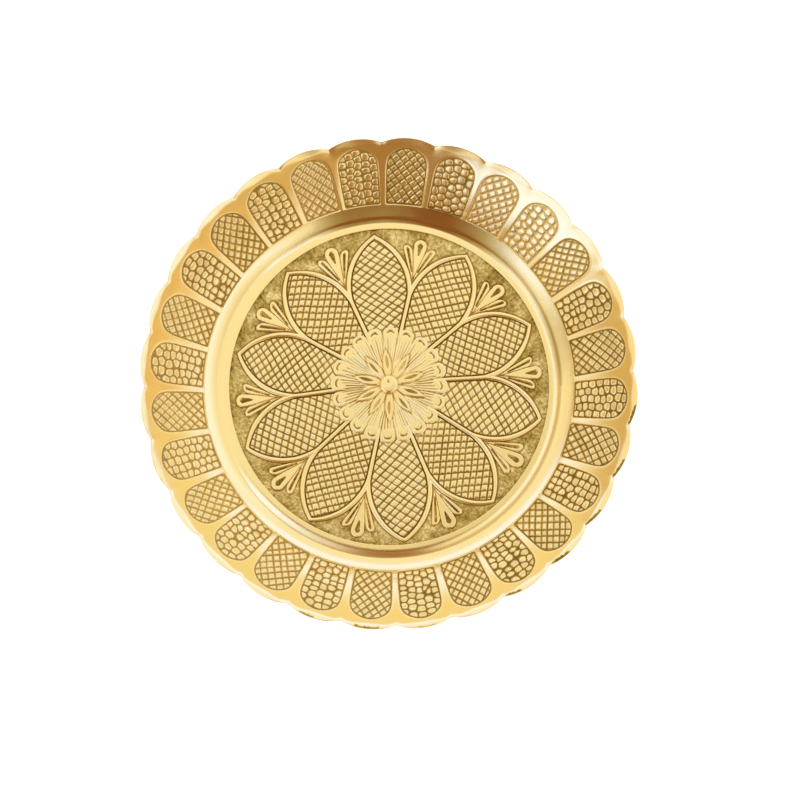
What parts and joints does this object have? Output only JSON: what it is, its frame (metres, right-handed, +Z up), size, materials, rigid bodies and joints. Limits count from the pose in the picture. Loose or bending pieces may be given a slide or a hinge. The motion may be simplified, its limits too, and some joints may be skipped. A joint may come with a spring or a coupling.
{
  "type": "puja thali",
  "caption": "Round brass offering plate with a scalloped rim of arched panels, a lotus medallion in the well and a low foot ring.",
  "frame": {"origin": "on the plate's axis, at the level on which its foot ring stands", "axes": "+Z up along the plate's axis; +X points between two lotus petals, 12.3 degrees short of a petal's centre line"},
  "size_m": [0.1296, 0.1296, 0.0162],
  "materials": {
    "plate_brass": "polished on the raised work, dark in the recesses",
    "foot_brass": "turned",
    "braze_filler": "as run",
    "stud_brass": "polished"
  },
  "bodies": {
    "root": {"well_floor": "plate_brass", "scalloped_rim": "plate_brass", "foot_ring": "foot_brass", "braze_fillets": "braze_filler", "centre_stud": "stud_brass"}
  },
  "joints": []
}
